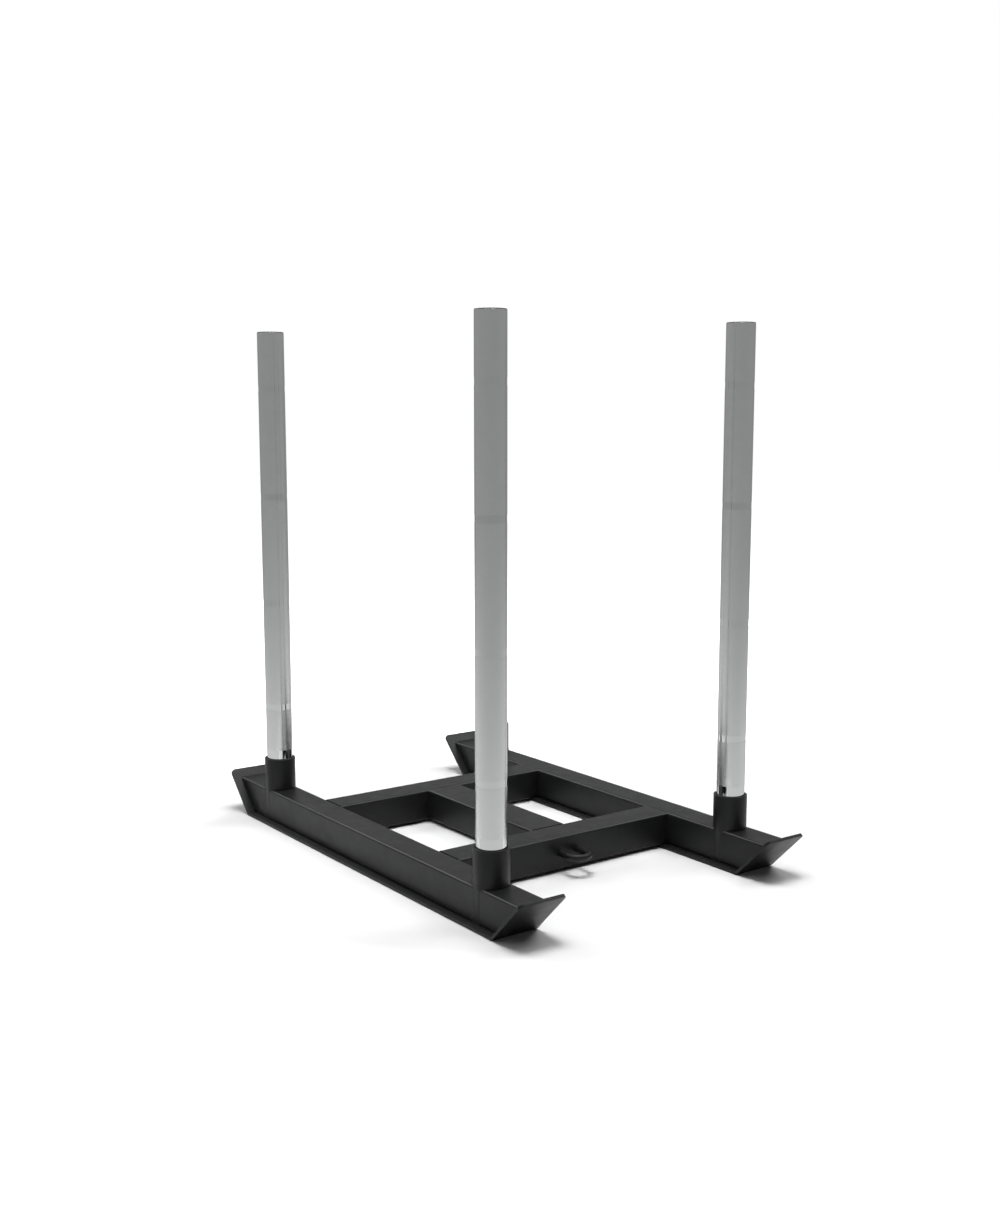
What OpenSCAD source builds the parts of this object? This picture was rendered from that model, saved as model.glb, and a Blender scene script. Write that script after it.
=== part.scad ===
// Drag sled: a welded tube frame on two bent skid plates, with four push poles that lift out.
// +Z is up and +X is to the right. The tow ring is at the front, which faces -Y.
// The origin is on the floor, midway between the skids and midway along them.

/* [Skid plates] */
// Width of a skid plate
plate_w = 90; // [75:1:120]
// Thickness of a skid plate
plate_t = 5; // [3:0.5:8]
// Distance between the two bends, on the underside
plate_flat = 848; // [820:1:1100]
// Angle of the upturned ends above the floor
lip_angle = 45; // [35:1:60]
// How far an upturned end rises above the frame
lip_rise = 14.5; // [5:0.5:30]
// Inside radius of a bend
bend_r = 2; // [1:0.5:5]
// Radius of an upturned end's two free corners
lip_corner_r = 9; // [2:0.5:20]

/* [Frame] */
// Height of the frame tubes
tube_h = 60; // [40:1:80]
// Wall of the frame tubes
tube_wall = 3; // [2:0.5:5]
// Outside radius of the frame tubes' long edges
tube_corner_r = 4.5; // [3:0.5:8]
// Width of the runners
runner_w = 58; // [40:1:70]
// Distance between the two runners, centre to centre
runner_spacing = 530; // [440:1:700]
// Width of the two cross members
cross_w = 62; // [40:1:80]
// Distance between the two cross members, centre to centre
cross_spacing = 398; // [250:1:520]
// Width of the centre beam
beam_w = 76; // [40:1:120]

/* [Sleeves] */
// Distance between the front and the rear poles, centre to centre
pole_spacing = 725; // [660:1:780]
// How far a sleeve rises above the frame
sleeve_rise = 62; // [30:1:120]
// Wall of a sleeve
sleeve_wall = 4; // [2.5:0.5:6]
// Gap all round between a pole and its sleeve
pole_gap = 0.6; // [0.2:0.1:1.5]

/* [Poles] */
// Diameter of a pole over its knurling
pole_d = 50.8; // [42:0.1:55]
// Wall of a pole
pole_wall = 3; // [2:0.5:6]
// Length of a pole without its cap and foot
pole_len = 950.5; // [600:0.5:1200]
// How far the knurling stands out from the smooth rings
knurl_rise = 0.3; // [0.1:0.1:0.6]
// Length of the smooth stub at the foot of a pole
stub_len = 137; // [125:1:180]
// Height of the lowest smooth ring's middle above the end of the pole
first_ring = 224; // [200:1:300]
// Distance from one smooth ring to the next
ring_pitch = 207; // [100:1:300]
// Height of a smooth ring
ring_h = 12; // [4:1:30]

/* [Pole caps and feet] */
// Thickness of the cap's rim on top of a pole
cap_t = 1.5; // [1:0.5:5]
// How much narrower the cap's rim is than the pole, all round
cap_inset = 0.4; // [0.2:0.1:2]
// Thickness of the foot under a pole
foot_t = 3; // [2:0.5:8]
// Depth of the plug of a cap or a foot inside the pole
plug_len = 18; // [8:1:40]
// Wall of a plug
plug_wall = 2.5; // [1.5:0.5:5]
// Gap all round between a plug and the pole
plug_gap = 0.1; // [0.05:0.05:0.3]

/* [Tow ring] */
// Diameter of the tow ring's rod
tow_rod_d = 12; // [8:0.5:16]
// Distance between the tow ring's two legs, centre to centre
tow_w = 40; // [34:1:80]
// How far the middle of the rod stands out from the frame
tow_reach = 44; // [42:1:90]

/* [Hidden] */
$fn = 96;

frame_colour = "#3a3c3e";
pole_colour = "#a3a8a7";
plug_colour = "#1c1d1e";

// Gap left round a sleeve and at a runner's ends for the weld
weld_gap = 0.2;
// How far a cut runs past the solid that it cuts
past = 1;
// How far the round of an upturned end's corner is struck wide of the edges
corner_hair = 0.05;
// Smallest inside radius of a frame tube's corners
least_inner_r = 0.5;
// Straight steps in each bend of a skid plate
bend_steps = 8;

// Directions along X and Y
left = -1;
right = 1;
front = -1;
rear = 1;

// Heights of the frame and of what stands on the skid plates
frame_top = plate_t + tube_h;
tube_z = plate_t + tube_h / 2;
sleeve_h = tube_h + sleeve_rise;
pole_z = plate_t + foot_t;
cap_z = pole_z + pole_len;

// Places of the runners, the cross members and the poles
runner_x = runner_spacing / 2;
cross_y = cross_spacing / 2;
pole_y = pole_spacing / 2;
cross_len = runner_spacing - runner_w;
beam_len = cross_spacing - cross_w;

// The bends start where the flat ends, short of the corner that the two undersides would make
bend_outer_r = bend_r + plate_t;
bend_setback = bend_outer_r * tan(lip_angle / 2);
flat_end = plate_flat / 2 - bend_setback;
lip_len = (frame_top + lip_rise - plate_t * cos(lip_angle)) / sin(lip_angle);
lip_straight = lip_len - bend_setback;
// The corner on the inside of the bend, where a runner's slanted end starts
inner_corner_y = plate_flat / 2 - plate_t * tan(lip_angle / 2);
runner_reach = inner_corner_y + tube_h / tan(lip_angle) + past;

// Radii of the poles, sleeves and plugs
pole_r = pole_d / 2;
smooth_r = pole_r - knurl_rise;
pole_bore_r = pole_r - pole_wall;
sleeve_bore_r = pole_r + pole_gap;
sleeve_r = sleeve_bore_r + sleeve_wall;
plug_r = pole_bore_r - plug_gap;
ring_count = floor((pole_len - first_ring - ring_h) / ring_pitch) + 1;

// A rectangle with four round corners, centred
module rounded_rectangle(w, h, r) {
    square([w - 2 * r, h], center = true);
    square([w, h - 2 * r], center = true);
    for (x = [-1, 1], y = [-1, 1])
        translate([x * (w / 2 - r), y * (h / 2 - r)]) circle(r = r);
}

// Cross section of a frame tube
module tube_section(w) {
    inner_r = max(tube_corner_r - tube_wall, least_inner_r);
    difference() {
        rounded_rectangle(w, tube_h, tube_corner_r);
        rounded_rectangle(w - 2 * tube_wall, tube_h - 2 * tube_wall, inner_r);
    }
}

// Frame tube along Y from one place to another, standing on the skid plates
module tube_along_y(w, from_y, to_y) {
    translate([0, to_y, tube_z]) rotate([90, 0, 0])
        linear_extrude(height = to_y - from_y) tube_section(w);
}

// Frame tube along X, centred
module tube_along_x(w, length) {
    translate([0, 0, tube_z]) rotate([90, 0, 90])
        linear_extrude(height = length, center = true) tube_section(w);
}

// Points along an arc in the side view, from one angle to another
function arc(centre, r, from, to) =
    [for (i = [0:bend_steps]) let (angle = from + (to - from) * i / bend_steps)
        centre + r * [cos(angle), sin(angle)]];

// Side view of a skid plate: its rear half from the underside to the top, then its front half
module skid_profile() {
    centre = [flat_end, bend_outer_r];
    along = [cos(lip_angle), sin(lip_angle)];
    down = [sin(lip_angle), -cos(lip_angle)];
    rear_half = concat(
        arc(centre, bend_outer_r, -90, lip_angle - 90),
        [centre + lip_straight * along + bend_outer_r * down],
        [centre + lip_straight * along + bend_r * down],
        arc(centre, bend_r, lip_angle - 90, -90));
    last = len(rear_half) - 1;
    front_half = [for (i = [0:last]) [-rear_half[last - i].x, rear_half[last - i].y]];
    polygon(concat(rear_half, front_half));
}

// What rounding takes off the two free corners of the rear upturned end. The round is
// struck a hair wide of the edges, so that it crosses them instead of just touching
module lip_corner_cuts() {
    for (side = [left, right])
        translate([0, plate_flat / 2, 0]) rotate([lip_angle, 0, 0])
            translate([side * (plate_w / 2 - lip_corner_r), lip_len - lip_corner_r, -past])
                difference() {
                    translate([side < 0 ? -2 * lip_corner_r : 0, 0, 0])
                        cube([2 * lip_corner_r, 2 * lip_corner_r, plate_t + 2 * past]);
                    cylinder(r = lip_corner_r + corner_hair, h = plate_t + 2 * past);
                }
}

module skid_plate(side) {
    color(frame_colour) translate([side * runner_x, 0, 0]) difference() {
        rotate([90, 0, 90]) linear_extrude(height = plate_w, center = true) skid_profile();
        lip_corner_cuts();
        mirror([0, 1, 0]) lip_corner_cuts();
    }
}

// Everything behind the slanted end of a runner at the rear
module runner_end_cut() {
    reach = 2 * runner_reach;
    translate([0, inner_corner_y, plate_t]) rotate([lip_angle, 0, 0])
        translate([-runner_w, -reach / 2, -reach]) cube([2 * runner_w, reach, reach + weld_gap]);
}

// One length of a runner: the sleeves are wider than the tube, so they part it
module runner(side, from_y, to_y) {
    color(frame_colour) translate([side * runner_x, 0, 0]) difference() {
        tube_along_y(runner_w, from_y, to_y);
        for (end = [front, rear])
            translate([0, end * pole_y, 0]) cylinder(r = sleeve_r + weld_gap, h = frame_top + past);
        runner_end_cut();
        mirror([0, 1, 0]) runner_end_cut();
    }
}

module cross_member(end) {
    color(frame_colour) translate([0, end * cross_y, 0]) tube_along_x(cross_w, cross_len);
}

module centre_beam() {
    color(frame_colour) tube_along_y(beam_w, -beam_len / 2, beam_len / 2);
}

// A rod bent to a U, lying level, with both legs on the front cross member
module tow_ring() {
    leg_len = tow_reach - tow_w / 2;
    color(frame_colour) translate([0, -cross_y - cross_w / 2, tube_z]) {
        for (side = [left, right])
            translate([side * tow_w / 2, 0, 0]) rotate([90, 0, 0])
                cylinder(d = tow_rod_d, h = leg_len);
        translate([0, -leg_len, 0]) rotate([0, 0, 180])
            rotate_extrude(angle = 180) translate([tow_w / 2, 0]) circle(d = tow_rod_d);
    }
}

// Moves a piece to one of the four corners of the frame
module at_corner(end, side) {
    translate([side * runner_x, end * pole_y, 0]) children();
}

module sleeve(end, side) {
    color(frame_colour) at_corner(end, side) translate([0, 0, plate_t]) difference() {
        cylinder(r = sleeve_r, h = sleeve_h);
        translate([0, 0, -past]) cylinder(r = sleeve_bore_r, h = sleeve_h + 2 * past);
    }
}

// The knurled stretches stand out between the smooth stub and the smooth rings
module pole(end, side) {
    starts = [stub_len, for (i = [0:ring_count - 1]) first_ring + i * ring_pitch + ring_h / 2];
    ends = [for (i = [0:ring_count - 1]) first_ring + i * ring_pitch - ring_h / 2, pole_len];
    color(pole_colour) at_corner(end, side) translate([0, 0, pole_z]) difference() {
        union() {
            cylinder(r = smooth_r, h = pole_len);
            for (i = [0:ring_count])
                translate([0, 0, starts[i]]) cylinder(r = pole_r, h = ends[i] - starts[i]);
        }
        translate([0, 0, -past]) cylinder(r = pole_bore_r, h = pole_len + 2 * past);
    }
}

// A rim across the end of a pole and a hollow plug that goes into it
module end_plug(rim_r, rim_t) {
    cylinder(r = rim_r, h = rim_t);
    translate([0, 0, rim_t]) difference() {
        cylinder(r = plug_r, h = plug_len);
        cylinder(r = plug_r - plug_wall, h = plug_len + past);
    }
}

module pole_cap(end, side) {
    color(plug_colour) at_corner(end, side) translate([0, 0, cap_z + cap_t])
        mirror([0, 0, 1]) end_plug(pole_r - cap_inset, cap_t);
}

module pole_foot(end, side) {
    color(plug_colour) at_corner(end, side) translate([0, 0, plate_t]) end_plug(smooth_r, foot_t);
}

skid_plate(left);  // left_skid_plate
skid_plate(right);  // right_skid_plate
runner(left, -runner_reach, -pole_y);  // left_runner_front
runner(left, -pole_y, pole_y);  // left_runner_middle
runner(left, pole_y, runner_reach);  // left_runner_rear
runner(right, -runner_reach, -pole_y);  // right_runner_front
runner(right, -pole_y, pole_y);  // right_runner_middle
runner(right, pole_y, runner_reach);  // right_runner_rear
cross_member(front);  // front_cross_member
cross_member(rear);  // rear_cross_member
centre_beam();
tow_ring();
sleeve(front, left);  // front_left_sleeve
sleeve(front, right);  // front_right_sleeve
sleeve(rear, left);  // rear_left_sleeve
sleeve(rear, right);  // rear_right_sleeve
pole(front, left);  // front_left_pole
pole(front, right);  // front_right_pole
pole(rear, left);  // rear_left_pole
pole(rear, right);  // rear_right_pole
pole_cap(front, left);  // front_left_pole_cap
pole_cap(front, right);  // front_right_pole_cap
pole_cap(rear, left);  // rear_left_pole_cap
pole_cap(rear, right);  // rear_right_pole_cap
pole_foot(front, left);  // front_left_pole_foot
pole_foot(front, right);  // front_right_pole_foot
pole_foot(rear, left);  // rear_left_pole_foot
pole_foot(rear, right);  // rear_right_pole_foot
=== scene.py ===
import math

import bmesh
import bpy
import numpy as np
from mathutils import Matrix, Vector


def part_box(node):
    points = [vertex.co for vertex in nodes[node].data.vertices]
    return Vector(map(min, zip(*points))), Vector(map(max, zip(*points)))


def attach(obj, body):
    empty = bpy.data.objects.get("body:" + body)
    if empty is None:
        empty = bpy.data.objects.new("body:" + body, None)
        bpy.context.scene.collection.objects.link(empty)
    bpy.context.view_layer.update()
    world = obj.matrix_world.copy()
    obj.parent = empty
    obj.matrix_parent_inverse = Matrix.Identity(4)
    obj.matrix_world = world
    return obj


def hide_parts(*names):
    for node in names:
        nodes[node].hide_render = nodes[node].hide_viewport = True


# Drag sled with four knurled push poles. Metres, +Z up, the tow ring at the front (-Y).

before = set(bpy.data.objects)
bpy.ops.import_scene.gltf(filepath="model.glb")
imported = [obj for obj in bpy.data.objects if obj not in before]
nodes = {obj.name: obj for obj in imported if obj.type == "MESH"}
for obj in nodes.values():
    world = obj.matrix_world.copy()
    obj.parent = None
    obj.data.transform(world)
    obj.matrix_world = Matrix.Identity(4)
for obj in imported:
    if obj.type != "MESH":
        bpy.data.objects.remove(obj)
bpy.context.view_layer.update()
print("frame loaded:", len(nodes), "nodes")

corners = ["front_left", "front_right", "rear_left", "rear_right"]


def makeCamera():
    # where the photograph was taken from
    view = {
        "place": (-1.5047, -2.0940, 0.8001),
        "turn": 35.98,      # degrees to the right of straight ahead
        "tilt": 8.01,       # degrees down
        "roll": 0.026,
        "lens": 40.93,      # mm
        "sensor": 36.0,     # mm, the long side of the frame
    }
    data = bpy.data.cameras.new("photoCamera")
    data.lens = view["lens"]
    data.sensor_width = view["sensor"]
    camera = bpy.data.objects.new("photoCamera", data)
    bpy.context.scene.collection.objects.link(camera)
    camera.location = view["place"]
    # a camera at rest looks straight down, and the turns are x, y and z, in degrees
    angles = (90 - view["tilt"], view["roll"], -view["turn"])
    camera.rotation_euler = [math.radians(angle) for angle in angles]
    bpy.context.scene.camera = camera
    print("camera at", view["place"])


def pieceFromMesh(name, mesh):
    piece = bpy.data.objects.new(name, mesh)
    bpy.context.scene.collection.objects.link(piece)
    return piece


def meshFromFaces(name, points, faces, materials, faceMaterial=None, uv=None):
    # points: n x 3; faces: lists of indices; uv: one pair for each face corner, in order
    sharpAngle = math.radians(35)
    sameSpot = 1e-7              # points this close are one
    mesh = bpy.data.meshes.new(name)
    mesh.from_pydata(np.asarray(points, float).tolist(), [], faces)
    for material in materials:
        mesh.materials.append(material)
    if faceMaterial is not None:
        mesh.polygons.foreach_set("material_index", np.asarray(faceMaterial, np.int32))
    if uv is not None:
        layer = mesh.uv_layers.new(name="roundMap")
        layer.data.foreach_set("uv", np.asarray(uv, np.float32).ravel())
    mesh.polygons.foreach_set("use_smooth", np.ones(len(mesh.polygons), bool))
    work = bmesh.new()
    work.from_mesh(mesh)
    bmesh.ops.remove_doubles(work, verts=work.verts, dist=sameSpot)
    bmesh.ops.dissolve_degenerate(work, edges=work.edges, dist=sameSpot)
    bmesh.ops.recalc_face_normals(work, faces=work.faces)
    work.to_mesh(mesh)
    work.free()
    mesh.set_sharp_from_angle(angle=sharpAngle)
    mesh.update()
    return pieceFromMesh(name, mesh)


def gridQuads(rows, columns, closeRows, closeColumns):
    # corners of every quad of a rows x columns grid, wrapped round where it is closed
    index = np.arange(rows * columns).reshape(rows, columns)
    if closeRows:
        index = np.vstack([index, index[:1]])
    if closeColumns:
        index = np.hstack([index, index[:, :1]])
    quads = np.stack([index[:-1, :-1], index[1:, :-1], index[1:, 1:], index[:-1, 1:]], -1)
    return quads.reshape(-1, 4)


def turned(name, place, profile, materials, steps, zone=None, reshape=None):
    # x = place.x + r cos a, y = place.y + r sin a, z = z, for every angle a and every profile point
    # (r, z); the profile is a closed loop. The UV map holds a / one turn and z / the length round
    # the widest place. zone: which material each stretch of the profile is made of. reshape takes
    # the whole grid of points and gives it back changed
    profile = np.asarray(profile, float)
    angle = np.linspace(0, 2 * np.pi, steps, endpoint=False)
    r, z = profile[:, 0], profile[:, 1]
    points = np.stack([
        place[0] + np.cos(angle)[:, None] * r[None, :],
        place[1] + np.sin(angle)[:, None] * r[None, :],
        np.broadcast_to(z, (steps, len(z)))], -1)
    if reshape is not None:
        points = reshape(points)
    quads = gridQuads(steps, len(z), True, True)
    share = np.arange(steps + 1) / steps
    height = np.append(z, z[0]) / (2 * np.pi * r.max())
    corner = np.stack(np.broadcast_arrays(share[:, None], height[None, :]), -1)
    uv = np.stack([corner[:-1, :-1], corner[1:, :-1], corner[1:, 1:], corner[:-1, 1:]], 2)
    points, uv = points.reshape(-1, 3), uv.reshape(-1, 2)
    faceMaterial = None
    if zone is not None:
        faceMaterial = np.tile(np.asarray(zone, np.int32), steps)
    return meshFromFaces(name, points, quads.tolist(), materials, faceMaterial, uv)


def swept(name, rings, materials):
    # a solid through a row of closed rings, each m points; a flat face closes either end
    rings = np.asarray(rings, float)
    n, m = rings.shape[:2]
    faces = gridQuads(n, m, False, True).tolist()
    faces += [list(range(m)), list(range(n * m - 1, (n - 1) * m - 1, -1))]
    return meshFromFaces(name, rings.reshape(-1, 3), faces, materials)


def arcPoints(centre, radius, start, end, steps):
    # points on a circle from one angle to another, in degrees
    angle = np.radians(np.linspace(start, end, steps + 1))
    return np.stack([centre[0] + radius * np.cos(angle), centre[1] + radius * np.sin(angle)], -1)


def emptyMaterial(name):
    material = bpy.data.materials.new(name)
    material.use_nodes = True
    material.node_tree.nodes.clear()
    return material, material.node_tree


def shaderMaterial(name):
    material = bpy.data.materials.new(name)
    material.use_nodes = True
    tree = material.node_tree
    return material, tree, tree.nodes["Principled BSDF"]


def objectPlace(tree):
    return tree.nodes.new("ShaderNodeTexCoord").outputs["Object"]


def mathNode(tree, operation, a, b=None, c=None):
    node = tree.nodes.new("ShaderNodeMath")
    node.operation = operation
    for socket, value in zip(node.inputs, (a, b, c)):
        if value is None:
            continue
        if isinstance(value, (int, float)):
            socket.default_value = value
        else:
            tree.links.new(value, socket)
    return node.outputs[0]


def lengthOf(tree, vector):
    node = tree.nodes.new("ShaderNodeVectorMath")
    node.operation = "LENGTH"
    tree.links.new(vector, node.inputs[0])
    return node.outputs["Value"]


# octaves of a noise
plainDetail, fineDetail, finestDetail = 2.0, 3.0, 4.0


def noise(tree, vector, size, detail=plainDetail):
    # size is about the width of one patch, in metres
    node = tree.nodes.new("ShaderNodeTexNoise")
    node.inputs["Scale"].default_value = 1 / size
    node.inputs["Detail"].default_value = detail
    tree.links.new(vector, node.inputs["Vector"])
    return node.outputs["Fac"]


def rangeOf(tree, value, low, high, toLow, toHigh):
    node = tree.nodes.new("ShaderNodeMapRange")
    numbers = {"From Min": low, "From Max": high, "To Min": toLow, "To Max": toHigh}
    for key, number in numbers.items():
        node.inputs[key].default_value = number
    tree.links.new(value, node.inputs["Value"])
    return node.outputs["Result"]


def spread(tree, value, toLow, toHigh):
    # a noise lies between these two nearly everywhere
    usualLow, usualHigh = 0.3, 0.7
    return rangeOf(tree, value, usualLow, usualHigh, toLow, toHigh)


def mixColour(tree, factor, first, second):
    node = tree.nodes.new("ShaderNodeMix")
    node.data_type = "RGBA"
    sockets = {s.identifier: s for s in node.inputs}
    tree.links.new(factor, sockets["Factor_Float"])
    for key, value in (("A_Color", first), ("B_Color", second)):
        if isinstance(value, tuple):
            sockets[key].default_value = (*value, 1.0)
        else:
            tree.links.new(value, sockets[key])
    return next(s for s in node.outputs if s.identifier == "Result_Color")


def bump(tree, height, strength, distance, shader):
    node = tree.nodes.new("ShaderNodeBump")
    node.inputs["Strength"].default_value = strength
    node.inputs["Distance"].default_value = distance
    tree.links.new(height, node.inputs["Height"])
    tree.links.new(node.outputs["Normal"], shader.inputs["Normal"])


def makeFrameCoats():
    coat = {
        "dark": (0.0096, 0.0099, 0.0104),
        "light": (0.0125, 0.0129, 0.0135),
        "cloudSize": 0.12,                   # of the slow change between the two
        "cloudFrom": 0.35,                   # noise value of the darkest
        "cloudTo": 0.65,                     # and of the lightest
        "rubbed": (0.030, 0.031, 0.032),     # where an edge has been handled
        "edgeWidth": 0.0012,
        "edgeSamples": 4,
        "edgeFrom": 0.99,                    # cosine between the two normals where an edge starts
        "edgeTo": 0.80,                      # and where it is rubbed in full
        "scuffSize": 0.011,
        "scuffFrom": 0.42,
        "scuffTo": 0.62,
        "scuffShare": (0.15, 0.8),           # least and most of the rubbing that a scuff leaves
        "roundHighlightColour": (0.058, 0.059, 0.060),    # painted highlight: a lighter colour along a tube's round edges
        "roundLean": 45.0,                   # degrees, in the middle of the round
        "roundInner": 0.08,                  # full up to here, in the cosine of the lean
        "roundOuter": 0.20,                  # and fades out up to here
        "roundHighlightPatchSize": 0.05,
        "roundHighlightShare": (0.5, 1.0),
        "roughness": (0.36, 0.44),
        "roughSize": 0.025,
        "specular": 0.23,
        "grainSize": 0.0016,                 # of the powder's fine orange peel
        "grainDepth": 0.00006,
        "grainStrength": 0.5,
    }
    made = []
    for name, isTube in (("mattPowderCoat", False), ("tubePowderCoatWithPaintedHighlight", True)):
        material, tree, shader = shaderMaterial(name)
        place = objectPlace(tree)
        cloud = noise(tree, place, coat["cloudSize"], finestDetail)
        cloud = rangeOf(tree, cloud, coat["cloudFrom"], coat["cloudTo"], 0.0, 1.0)
        colour = mixColour(tree, cloud, coat["dark"], coat["light"])
        # an edge is where the rounded-off normal leaves the face's own
        rounded = tree.nodes.new("ShaderNodeBevel")
        rounded.samples = coat["edgeSamples"]
        rounded.inputs["Radius"].default_value = coat["edgeWidth"]
        faceNormal = tree.nodes.new("ShaderNodeNewGeometry").outputs["Normal"]
        dot = tree.nodes.new("ShaderNodeVectorMath")
        dot.operation = "DOT_PRODUCT"
        tree.links.new(rounded.outputs["Normal"], dot.inputs[0])
        tree.links.new(faceNormal, dot.inputs[1])
        edge = rangeOf(tree, dot.outputs["Value"], coat["edgeFrom"], coat["edgeTo"], 0.0, 1.0)
        scuff = noise(tree, place, coat["scuffSize"], fineDetail)
        scuff = rangeOf(tree, scuff, coat["scuffFrom"], coat["scuffTo"], *coat["scuffShare"])
        colour = mixColour(tree, mathNode(tree, "MULTIPLY", edge, scuff), colour, coat["rubbed"])
        if isTube:
            # a tube's long edges are round; painted highlight: a lighter colour along the middle of
            # the round, patchy along its length
            normal = tree.nodes.new("ShaderNodeSeparateXYZ")
            tree.links.new(faceNormal, normal.inputs["Vector"])
            lean = mathNode(tree, "ABSOLUTE", normal.outputs["Z"])
            middle = math.cos(math.radians(coat["roundLean"]))
            off = mathNode(tree, "ABSOLUTE", mathNode(tree, "SUBTRACT", lean, middle))
            onRound = rangeOf(tree, off, coat["roundInner"], coat["roundOuter"], 1.0, 0.0)
            roundHighlight = noise(tree, place, coat["roundHighlightPatchSize"], fineDetail)
            roundHighlight = spread(tree, roundHighlight, *coat["roundHighlightShare"])
            roundHighlight = mathNode(tree, "MULTIPLY", onRound, roundHighlight)
            # the painted highlight goes into the tube coat's colour
            colour = mixColour(tree, roundHighlight, colour, coat["roundHighlightColour"])
        tree.links.new(colour, shader.inputs["Base Color"])
        rough = spread(tree, noise(tree, place, coat["roughSize"], fineDetail), *coat["roughness"])
        tree.links.new(rough, shader.inputs["Roughness"])
        shader.inputs["Specular IOR Level"].default_value = coat["specular"]
        grain = noise(tree, place, coat["grainSize"])
        bump(tree, grain, coat["grainStrength"], coat["grainDepth"], shader)
        made.append(material)
    print("coats made")
    return made


def makePoleMetals():
    metal = {
        "colour": (0.620, 0.634, 0.628),
        "smeared": (0.598, 0.612, 0.606),
        "smearSize": 0.036,
        "edgeTint": (0.72, 0.72, 0.72),
        "knurlRoughness": (0.20, 0.27),
        "smoothRoughness": (0.02, 0.05),
        "roughSize": 0.017,
        "knurlsAround": 128,                 # diamonds in one turn
        "knurlDepth": 0.00012,
        "knurlStrength": 0.6,
        "turningDepth": 0.0003,              # of the lathe's marks on the smooth stretches
        "turningStrength": 0.03,
        "turningSquash": 40.0,               # the marks are finer along the pole by this factor
    }
    made = []
    for name, knurled in (("knurledChrome", True), ("polishedChrome", False)):
        material, tree, shader = shaderMaterial(name)
        shader.inputs["Metallic"].default_value = 1.0
        shader.inputs["Specular Tint"].default_value = (*metal["edgeTint"], 1.0)
        place = objectPlace(tree)
        smear = noise(tree, place, metal["smearSize"], finestDetail)
        colour = mixColour(tree, smear, metal["smeared"], metal["colour"])
        tree.links.new(colour, shader.inputs["Base Color"])
        key = "knurlRoughness" if knurled else "smoothRoughness"
        rough = spread(tree, noise(tree, place, metal["roughSize"], fineDetail), *metal[key])
        tree.links.new(rough, shader.inputs["Roughness"])
        if knurled:
            # pyramids between two sets of grooves that run round the pole at 45 degrees; a groove
            # comes every whole unit, and the height turns halfway
            half = 0.5
            uv = tree.nodes.new("ShaderNodeUVMap")
            uv.uv_map = "roundMap"
            parts = tree.nodes.new("ShaderNodeSeparateXYZ")
            tree.links.new(uv.outputs["UV"], parts.inputs["Vector"])
            around = mathNode(tree, "MULTIPLY", parts.outputs["X"], metal["knurlsAround"])
            along = mathNode(tree, "MULTIPLY", parts.outputs["Y"], metal["knurlsAround"])
            rising = mathNode(tree, "PINGPONG", mathNode(tree, "ADD", around, along), half)
            falling = mathNode(tree, "PINGPONG", mathNode(tree, "SUBTRACT", around, along), half)
            pyramids = mathNode(tree, "MINIMUM", rising, falling)
            bump(tree, pyramids, metal["knurlStrength"], metal["knurlDepth"], shader)
        else:
            fine = tree.nodes.new("ShaderNodeMapping")
            fine.inputs["Scale"].default_value = (1.0, 1.0, metal["turningSquash"])
            tree.links.new(place, fine.inputs["Vector"])
            marks = noise(tree, fine.outputs["Vector"], metal["roughSize"])
            bump(tree, marks, metal["turningStrength"], metal["turningDepth"], shader)
        made.append(material)
    print("pole metals made")
    return made


def makePlugPlastic():
    plastic = {
        "dark": (0.018, 0.018, 0.020),
        "light": (0.028, 0.028, 0.030),
        "mottleSize": 0.008,
        "roughness": (0.38, 0.52),
        "roughSize": 0.0033,
        "grainSize": 0.00055,
        "grainDepth": 0.00004,
        "grainStrength": 0.3,
    }
    material, tree, shader = shaderMaterial("mouldedPlug")
    place = objectPlace(tree)
    mottle = noise(tree, place, plastic["mottleSize"], fineDetail)
    colour = mixColour(tree, mottle, plastic["dark"], plastic["light"])
    tree.links.new(colour, shader.inputs["Base Color"])
    rough = spread(tree, noise(tree, place, plastic["roughSize"]), *plastic["roughness"])
    tree.links.new(rough, shader.inputs["Roughness"])
    grain = noise(tree, place, plastic["grainSize"])
    bump(tree, grain, plastic["grainStrength"], plastic["grainDepth"], shader)
    print("plug plastic made")
    return material


def cornerPlace(corner):
    low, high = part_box(corner + "_sleeve")
    return (low.x + high.x) / 2, (low.y + high.y) / 2


def nameOf(corner, piece):
    first, second = corner.split("_")
    return first + second.capitalize() + piece


def stand(piece, node, body):
    # the piece takes the node's place and moves with the body
    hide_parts(node)
    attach(piece, body)


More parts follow.
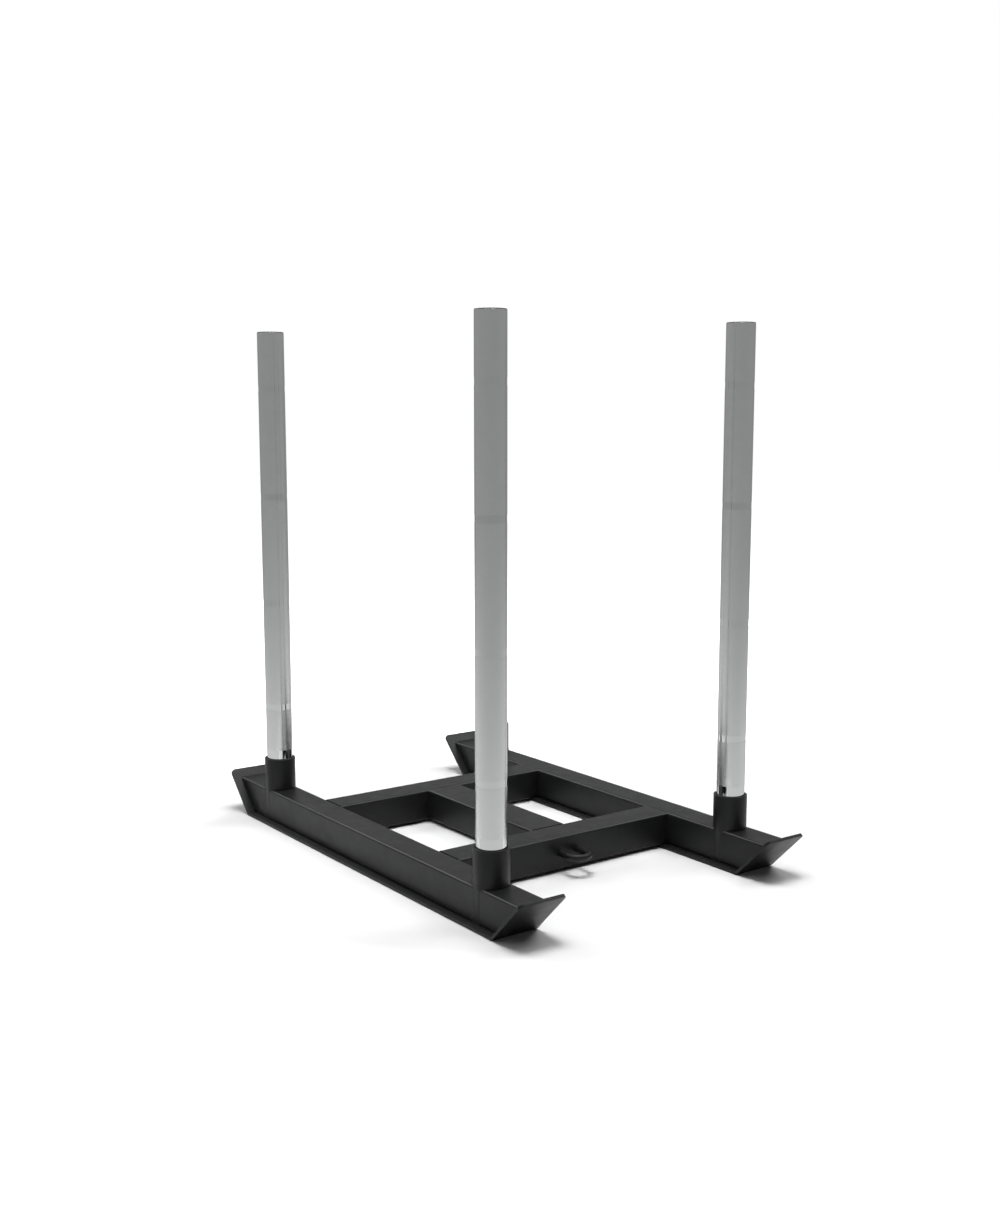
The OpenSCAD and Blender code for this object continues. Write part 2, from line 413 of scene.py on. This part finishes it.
def makePoles():
    pole = {
        "knurlRadius": 0.0254,
        "smoothRadius": 0.0251,
        "boreRadius": 0.0224,
        "foot": 0.008,               # height of the pole's lower end
        "top": 0.9585,
        "stubEnd": 0.145,            # the knurling starts here
        "rings": (0.232, 0.439, 0.646, 0.853),
        "ringHeight": 0.012,
        "shoulder": 0.00003,         # the slope beside a smooth ring
        "endBevel": 0.00004,
        "steps": 128,                # round the pole
    }
    knurlR, smoothR, boreR = pole["knurlRadius"], pole["smoothRadius"], pole["boreRadius"]
    bevel, slope, half = pole["endBevel"], pole["shoulder"], pole["ringHeight"] / 2
    # zone: which metal the face above each profile point is made of, 0 knurled, 1 smooth
    profile = [(smoothR - bevel, pole["foot"]), (smoothR, pole["foot"] + bevel),
               (smoothR, pole["stubEnd"])]
    zone = [1, 1, 1]
    for ring in pole["rings"]:
        profile += [(knurlR, profile[-1][1] + slope), (knurlR, ring - half - slope),
                    (smoothR, ring - half), (smoothR, ring + half)]
        zone += [0, 1, 1, 1]
    profile += [(knurlR, profile[-1][1] + slope), (knurlR, pole["top"] - bevel),
                (knurlR - bevel, pole["top"]), (boreR + bevel, pole["top"]),
                (boreR, pole["top"] - bevel), (boreR, pole["foot"] + bevel),
                (boreR + bevel, pole["foot"])]
    zone += [0, 0, 1, 1, 1, 1, 1]
    metals = [knurledChrome, polishedChrome]
    for corner in corners:
        name = nameOf(corner, "Pole")
        piece = turned(name, cornerPlace(corner), profile, metals, pole["steps"], zone)
        stand(piece, corner + "_pole", corner + "_pole")
    print("poles made")


def makePlugs():
    plug = {
        "rimRadius": 0.0250,
        "footRadius": 0.0251,
        "plugRadius": 0.0223,
        "wall": 0.0025,
        "depth": 0.018,
        "capThickness": 0.0015,
        "footThickness": 0.003,
        "edge": 0.0005,
        "crown": 0.0007,             # how far the middle of a cap stands above its rim
        "facePoints": 9,             # from the middle of the outside to its rounded edge
        "edgeSteps": 4,
        "steps": 72,                 # round the plug
    }

    def profile(rimR, thick, crown):
        # from the middle of the outside over the rim, down the plug and back to the middle of the
        # inside; height of the outside = thick + crown * (1 - (r / radius of its flat part)^2)
        edge, plugR, wall, depth = plug["edge"], plug["plugRadius"], plug["wall"], plug["depth"]
        r = np.linspace(0, rimR - edge, plug["facePoints"])
        face = np.stack([r, thick + crown * (1 - (r / (rimR - edge)) ** 2)], -1)
        rim = arcPoints((rimR - edge, thick - edge), edge, 90, 0, plug["edgeSteps"])[1:]
        rest = [(rimR, 0.0), (plugR, 0.0), (plugR, -depth + edge), (plugR - edge, -depth),
                (plugR - wall, -depth), (plugR - wall, 0.0), (0.0, 0.0)]
        return np.vstack([face, rim, np.array(rest)])

    cap = profile(plug["rimRadius"], plug["capThickness"], plug["crown"])
    foot = profile(plug["footRadius"], plug["footThickness"], 0.0)
    for corner in corners:
        body = corner + "_pole"
        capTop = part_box(body + "_cap")[1].z
        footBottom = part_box(body + "_foot")[0].z
        capOutline = cap + [0, capTop - plug["capThickness"]]
        footOutline = foot * [1, -1] + [0, footBottom + plug["footThickness"]]
        for part, outline in (("Cap", capOutline), ("Foot", footOutline)):
            name = nameOf(corner, "Pole" + part)
            piece = turned(name, cornerPlace(corner), outline, [mouldedPlug], plug["steps"])
            stand(piece, body + "_" + part.lower(), body)
    print("caps and feet made")


def makeSleeves():
    sleeve = {
        "radius": 0.030,
        "bore": 0.026,
        "outerEdge": 0.0010,
        "innerEdge": 0.0007,
        "proud": 0.00025,            # how far it stands out from the sides of its runner
        "runnerCorner": 0.0045,      # the flat in its side ends this far under the runner's top
        "flatFade": 0.0025,          # and the sleeve is round again this much higher
        "hair": 0.00001,             # for comparing heights
        "outerSteps": 5,             # over the outer edge
        "innerSteps": 4,             # and over the inner one
        "steps": 256,                # round the sleeve
    }
    radius, bore = sleeve["radius"], sleeve["bore"]
    outer, inner = sleeve["outerEdge"], sleeve["innerEdge"]
    for corner in corners:
        low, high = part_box(corner + "_sleeve")
        runnerLow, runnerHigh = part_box(corner.split("_")[1] + "_runner_front")
        runnerHalf = (runnerHigh.x - runnerLow.x) / 2
        flatTop = runnerHigh.z - sleeve["runnerCorner"]
        flatEnd = flatTop + sleeve["flatFade"]
        profile = np.vstack([
            [(bore, low.z), (radius, low.z), (radius, flatTop), (radius, flatEnd)],
            arcPoints((radius - outer, high.z - outer), outer, 0, 90, sleeve["outerSteps"]),
            arcPoints((bore + inner, high.z - inner), inner, 90, 180, sleeve["innerSteps"])])
        place = cornerPlace(corner)

        def flatSides(points):
            # up to flatTop, a point outside the runner's sides goes back to
            # x = middle + or - (half the runner's width + proud)
            offset = points[..., 0] - place[0]
            outside = (points[..., 2] < flatTop + sleeve["hair"]) & (np.abs(offset) > runnerHalf)
            flat = place[0] + np.sign(offset) * (runnerHalf + sleeve["proud"])
            points[..., 0] = np.where(outside, flat, points[..., 0])
            return points

        name = nameOf(corner, "Sleeve")
        piece = turned(name, place, profile, [frameCoat], sleeve["steps"], reshape=flatSides)
        stand(piece, corner + "_sleeve", "frame")
    print("sleeves made")


def makeSkidPlates():
    plate = {
        "width": 0.090,
        "thickness": 0.005,
        "flat": 0.848,               # between the corners of the two bends, underneath
        "angle": 45.0,
        "innerBend": 0.002,
        "cornerRadius": 0.009,       # of the free corners
        "edge": 0.0006,              # rounding of all the edges
        "bendPoints": 9,
        "edgePoints": 5,             # in one quarter turn
        "cornerPoints": 15,
        "cornerEnd": 8.0,            # degrees left of the corner where its points stop
        "cornerClear": 1.05,         # corner points are kept from this many edge roundings on
        "tipCore": 0.0001,           # half of what stays flat between the rounded edges at the tip
        "farFromTip": 1.0,           # for the places where nothing draws in
    }
    thick, width, edge = plate["thickness"], plate["width"], plate["edge"]
    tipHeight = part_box("left_skid_plate")[1].z
    angle = math.radians(plate["angle"])
    outerBend = plate["innerBend"] + thick
    setback = outerBend * math.tan(angle / 2)
    lipLength = (tipHeight - thick * math.cos(angle)) / math.sin(angle)
    middle = plate["innerBend"] + thick / 2      # radius of the bend in the middle of the plate

    # the middle line from the plate's centre to the tip: place, slope and distance from the tip
    bend = np.linspace(0, angle, plate["bendPoints"])
    bendCentre = (plate["flat"] / 2 - setback, outerBend)
    bendY = bendCentre[0] + middle * np.sin(bend)
    bendZ = bendCentre[1] - middle * np.cos(bend)
    corner = plate["cornerRadius"]
    edgeTurn = np.radians(np.linspace(90, 0, plate["edgePoints"]))
    edgeSteps = edge * (1 - np.cos(edgeTurn))
    cornerTurn = np.radians(np.linspace(90, plate["cornerEnd"], plate["cornerPoints"]))
    cornerSteps = corner * (1 - np.cos(cornerTurn))
    clear = cornerSteps > edge * plate["cornerClear"]
    fromTip = np.concatenate([cornerSteps[clear], edgeSteps])
    along = lipLength - setback - fromTip
    y = np.concatenate([[0.0], bendY, bendY[-1] + along * math.cos(angle)])
    z = np.concatenate([[thick / 2], bendZ, bendZ[-1] + along * math.sin(angle)])
    slope = np.concatenate([[0.0], bend, np.full(len(along), angle)])
    distance = np.concatenate([np.full(len(bend) + 1, plate["farFromTip"]), fromTip])

    # half width and half thickness at each place: towards the tip both draw in along a quarter
    # circle, r - sqrt(r^2 - (r - distance)^2)
    inCorner = np.clip(corner - distance, 0, corner)
    inEdge = np.clip(edge - distance, 0, edge)
    drawn = edge - np.sqrt(edge ** 2 - inEdge ** 2)
    halfWidth = width / 2 - corner + np.sqrt(corner ** 2 - inCorner ** 2) - drawn
    halfThick = thick / 2 - drawn

    # the cross section is a rectangle with four round corners: the signs of x and z and the angle
    # on the round for each of its points
    quarter = plate["edgePoints"]
    turn = np.radians(np.concatenate([np.linspace(q, q + 90, quarter) for q in (0, 90, 180, 270)]))
    signX = np.repeat([1, -1, -1, 1], quarter)
    signZ = np.repeat([1, 1, -1, -1], quarter)
    radius = np.minimum(edge, halfThick - plate["tipCore"])[:, None]
    across = signX * (halfWidth[:, None] - radius) + radius * np.cos(turn)
    up = signZ * (halfThick[:, None] - radius) + radius * np.sin(turn)

    def rings(side, end):
        # point = middle line + across the plate in X + up along the plate's own normal
        px = side + across
        py = end * (y[:, None] - up * np.sin(slope)[:, None])
        pz = z[:, None] + up * np.cos(slope)[:, None]
        return np.stack([px, py, pz], -1)

    for side in ("left", "right"):
        low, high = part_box(side + "_skid_plate")
        x = (low.x + high.x) / 2
        whole = np.concatenate([rings(x, 1)[::-1], rings(x, -1)[1:]])
        piece = swept(side + "SkidPlate", whole, [frameCoat])
        stand(piece, side + "_skid_plate", "frame")
    print("skid plates made")


def makeTowRing():
    ring = {
        "rod": 0.012,
        "width": 0.040,              # between the middles of its legs
        "bendPoints": 49,
        "rodPoints": 32,             # round the rod
    }
    low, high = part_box("tow_ring")
    rodR, bendR = ring["rod"] / 2, ring["width"] / 2
    x, z = (low.x + high.x) / 2, (low.z + high.z) / 2
    centreY = low.y + rodR + bendR
    # the rod's middle goes out along one leg, round half a circle and back along the other; each
    # ring of the rod is its middle + r cos b outwards + r sin b up
    turn = np.linspace(0, np.pi, ring["bendPoints"])
    pathX = np.concatenate([[bendR], bendR * np.cos(turn), [-bendR]])
    pathY = np.concatenate([[high.y - centreY], -bendR * np.sin(turn), [high.y - centreY]])
    outX = np.concatenate([[1.0], np.cos(turn), [-1.0]])
    outY = np.concatenate([[0.0], -np.sin(turn), [0.0]])
    about = np.linspace(0, 2 * np.pi, ring["rodPoints"], endpoint=False)
    reach = rodR * np.cos(about)
    rings = np.stack([
        x + pathX[:, None] + outX[:, None] * reach,
        centreY + pathY[:, None] + outY[:, None] * reach,
        np.broadcast_to(z + rodR * np.sin(about), (len(pathX), len(about)))], -1)
    stand(swept("towRing", rings, [frameCoat]), "tow_ring", "frame")
    print("tow ring made")


def coatTubes():
    # the welded tubes keep their own meshes and only get the coat, with its painted highlight along
    # their round edges
    count = 0
    for node in nodes.values():
        if node.hide_render:
            continue
        if node.material_slots:
            for materialSlot in node.material_slots:
                materialSlot.material = tubeCoat
        else:
            node.data.materials.append(tubeCoat)
        count += 1
    print("tubes coated:", count)


def seenStraight(tree):
    # 1 for what the camera, a reflection or glass sees, 0 for what only lights
    path = tree.nodes.new("ShaderNodeLightPath")
    seen = mathNode(tree, "MAXIMUM", path.outputs["Is Camera Ray"], path.outputs["Is Glossy Ray"])
    return mathNode(tree, "MAXIMUM", seen, path.outputs["Is Transmission Ray"])


def makeWorld():
    # white for whatever sees it straight, and a weak fill light for the rest
    sky = {"fill": 0.04, "white": 1.0, "colour": (1.0, 1.0, 1.0, 1.0)}
    world = bpy.data.worlds.new("studioWorld")
    bpy.context.scene.world = world
    world.use_nodes = True
    tree = world.node_tree
    tree.nodes.clear()
    mix = tree.nodes.new("ShaderNodeMixShader")
    tree.links.new(seenStraight(tree), mix.inputs[0])
    for socket, strength in ((mix.inputs[1], sky["fill"]), (mix.inputs[2], sky["white"])):
        background = tree.nodes.new("ShaderNodeBackground")
        background.inputs["Color"].default_value = sky["colour"]
        background.inputs["Strength"].default_value = strength
        tree.links.new(background.outputs[0], socket)
    out = tree.nodes.new("ShaderNodeOutputWorld")
    tree.links.new(mix.outputs[0], out.inputs["Surface"])
    print("world made")


def makeFloor():
    # a pale floor that keeps the sled's shadow and turns into the white background further out
    floor = {
        "half": 15.0,                # half its width
        "drop": 0.0002,              # it lies this far under the skids
        "colour": (0.97, 0.97, 0.97, 1.0),
        "whiteFrom": 0.56,           # from the middle of the sled, where the floor starts to whiten
        "whiteTo": 1.15,             # and where it is the white of the background
    }
    half, z = floor["half"], -floor["drop"]
    square = [(-half, -half, z), (half, -half, z), (half, half, z), (-half, half, z)]
    mesh = bpy.data.meshes.new("floor")
    mesh.from_pydata(square, [], [(0, 1, 2, 3)])
    material, tree = emptyMaterial("paleFloor")
    diffuse = tree.nodes.new("ShaderNodeBsdfDiffuse")
    diffuse.inputs["Color"].default_value = floor["colour"]
    glow = tree.nodes.new("ShaderNodeEmission")
    away = lengthOf(tree, objectPlace(tree))
    away = rangeOf(tree, away, floor["whiteFrom"], floor["whiteTo"], 0.0, 1.0)
    tree.links.new(mathNode(tree, "MULTIPLY", seenStraight(tree), away), glow.inputs["Strength"])
    both = tree.nodes.new("ShaderNodeAddShader")
    tree.links.new(diffuse.outputs[0], both.inputs[0])
    tree.links.new(glow.outputs[0], both.inputs[1])
    out = tree.nodes.new("ShaderNodeOutputMaterial")
    tree.links.new(both.outputs[0], out.inputs["Surface"])
    mesh.materials.append(material)
    pieceFromMesh("floor", mesh)
    print("floor made")


def makeStudioWalls():
    # what the bright poles mirror: a glowing ring, a painted reflection of a light pool on the
    # floor fading out to grey walls; its flat part lies over the floor and hides the real floor
    # from reflections
    walls = {
        "inner": 0.62,               # radius where the flat ring starts, just outside the sled
        "foot": 5.0,                 # radius of the wall
        "height": 9.0,
        "gap": 0.002,                # over the floor
        "near": 0.98,                # strength in the middle of the pool
        "far": 0.31,                 # and far away from it
        "reach": 3.9,
        "fadePower": -2.0,
        "middle": (0.3, 0.6, 0.0),
        "flatPoints": 24,
        "steps": 96,                 # round the ring
    }
    # x = r cos a, y = r sin a; flat from the inner radius to the foot of the wall, then straight up
    foot, flatPoints = walls["foot"], walls["flatPoints"]
    radius = np.append(np.linspace(walls["inner"], foot, flatPoints), foot)
    height = np.append(np.full(flatPoints, walls["gap"]), walls["height"])
    angle = np.linspace(0, 2 * np.pi, walls["steps"], endpoint=False)
    points = np.stack([
        np.cos(angle)[:, None] * radius, np.sin(angle)[:, None] * radius,
        np.broadcast_to(height, (len(angle), len(height)))], -1)
    mesh = bpy.data.meshes.new("studioWalls")
    quads = gridQuads(len(angle), len(height), True, False)
    mesh.from_pydata(points.reshape(-1, 3).tolist(), [], quads.tolist())
    material, tree = emptyMaterial("paintedReflectionWalls")
    fromMiddle = tree.nodes.new("ShaderNodeVectorMath")
    fromMiddle.operation = "SUBTRACT"
    fromMiddle.inputs[1].default_value = walls["middle"]
    tree.links.new(objectPlace(tree), fromMiddle.inputs[0])
    # strength = far + (near - far) * (1 + (distance / reach)^2) ^ fadePower
    ratio = mathNode(tree, "DIVIDE", lengthOf(tree, fromMiddle.outputs["Vector"]), walls["reach"])
    square = mathNode(tree, "MULTIPLY", ratio, ratio)
    fade = mathNode(tree, "POWER", mathNode(tree, "ADD", square, 1.0), walls["fadePower"])
    strength = mathNode(tree, "MULTIPLY_ADD", fade, walls["near"] - walls["far"], walls["far"])
    # the painted light pool glows, it is no lamp
    glow = tree.nodes.new("ShaderNodeEmission")
    tree.links.new(strength, glow.inputs["Strength"])
    out = tree.nodes.new("ShaderNodeOutputMaterial")
    tree.links.new(glow.outputs[0], out.inputs["Surface"])
    mesh.materials.append(material)
    piece = pieceFromMesh("studioWalls", mesh)
    # only reflections see it
    piece.visible_camera = False
    piece.visible_diffuse = False
    piece.visible_transmission = False
    piece.visible_shadow = False
    piece.visible_volume_scatter = False
    print("studio walls made")


def makeLamps():
    lamps = {
        "overhead": {"place": (0.0, 0.0, 4.8), "size": 2.4, "power": 151.0},
        "highRight": {"place": (2.9, -0.9, 4.0), "size": 2.6, "power": 81.0},
        "highLeft": {"place": (-2.9, -0.7, 4.0), "size": 3.2, "power": 22.0},
        "highBack": {"place": (-1.1, 3.5, 3.2), "size": 1.8, "power": 66.0},
    }
    for name, lamp in lamps.items():
        data = bpy.data.lights.new(name, "AREA")
        data.shape = "DISK"
        data.size = lamp["size"]
        data.energy = lamp["power"]
        piece = bpy.data.objects.new(name, data)
        bpy.context.scene.collection.objects.link(piece)
        piece.location = lamp["place"]
        # every lamp faces the middle of the sled
        piece.rotation_euler = Vector(lamp["place"]).to_track_quat("Z", "Y").to_euler()
    print("studio lit by", len(lamps), "lamps")


makeCamera()
frameCoat, tubeCoat = makeFrameCoats()
knurledChrome, polishedChrome = makePoleMetals()
mouldedPlug = makePlugPlastic()
makePoles()
makePlugs()
makeSleeves()
makeSkidPlates()
makeTowRing()
coatTubes()
makeWorld()
makeFloor()
makeStudioWalls()
makeLamps()

bpy.context.scene.view_settings.view_transform = "Standard"
